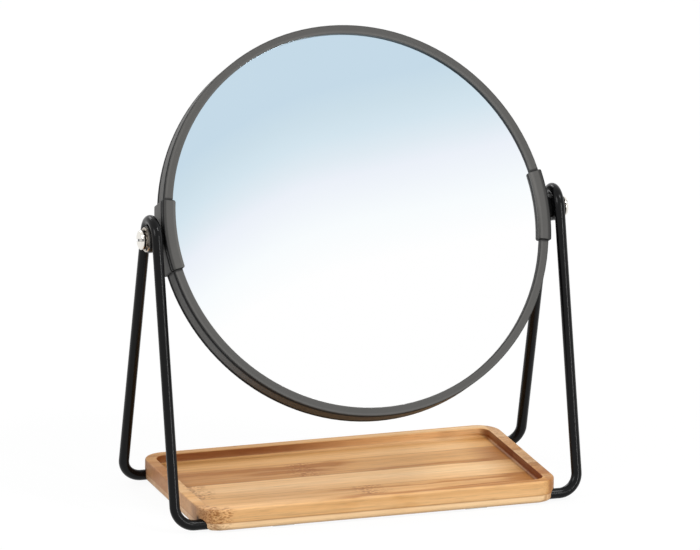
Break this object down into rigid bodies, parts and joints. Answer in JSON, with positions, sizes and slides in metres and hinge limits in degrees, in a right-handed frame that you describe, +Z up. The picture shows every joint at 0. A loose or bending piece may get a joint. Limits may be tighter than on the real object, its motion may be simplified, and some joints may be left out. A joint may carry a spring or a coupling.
{
  "type": "cosmetic mirror",
  "caption": "Round two-sided swivel mirror in a dark ring frame, held by clasps and pivots on a bent-wire stand over a shallow rectangular wooden tray.",
  "frame": {"origin": "on the table, below the middle of the mirror, at the underside of the foot pads", "axes": "+X along the pivots towards the right, -Y the front that the user faces, +Z up"},
  "size_m": [0.1996, 0.0956, 0.2052],
  "materials": {
    "ring_plastic": "charcoal grey, finely textured moulding",
    "clasp_plastic": "charcoal grey, finely textured moulding",
    "mirror_glass": "silvered glass, polished",
    "spacer_plastic": "black, plain, hidden between the glasses",
    "wire_paint": "satin black coating on steel wire",
    "screw_steel": "warm nickel plate on steel",
    "washer_nylon": "black nylon",
    "bamboo": "laminated bamboo strips under clear matt lacquer",
    "strap_steel": "zinc-plated steel strip",
    "pad_rubber": "dark grey soft pad"
  },
  "bodies": {
    "stand": {"bamboo_tray": "bamboo", "left_wire": "wire_paint", "right_wire": "wire_paint", "left_pivot_collar": "wire_paint", "right_pivot_collar": "wire_paint", "left_friction_washer": "washer_nylon", "right_friction_washer": "washer_nylon", "front_left_strap": "strap_steel", "front_right_strap": "strap_steel", "back_left_strap": "strap_steel", "back_right_strap": "strap_steel", "strap_screws": "screw_steel", "foot_pads": "pad_rubber"},
    "mirror": {"front_bezel": "ring_plastic", "rear_bezel": "ring_plastic", "ring_band": "ring_plastic", "front_glass": "mirror_glass", "rear_glass": "mirror_glass", "glass_spacer": "spacer_plastic", "left_clasp": "clasp_plastic", "right_clasp": "clasp_plastic", "left_clasp_cover": "clasp_plastic", "right_clasp_cover": "clasp_plastic", "left_nut_plate": "screw_steel", "right_nut_plate": "screw_steel", "left_pivot_screw": "screw_steel", "right_pivot_screw": "screw_steel", "left_washer": "screw_steel", "right_washer": "screw_steel", "left_lock_washer": "screw_steel", "right_lock_washer": "screw_steel"}
  },
  "joints": [
    {"name": "mirror_swivel", "type": "hinge", "parent": "stand", "child": "mirror", "pos_m": [0, 0, 0.12432], "axis": [1, 0, 0], "continuous": true}
  ]
}
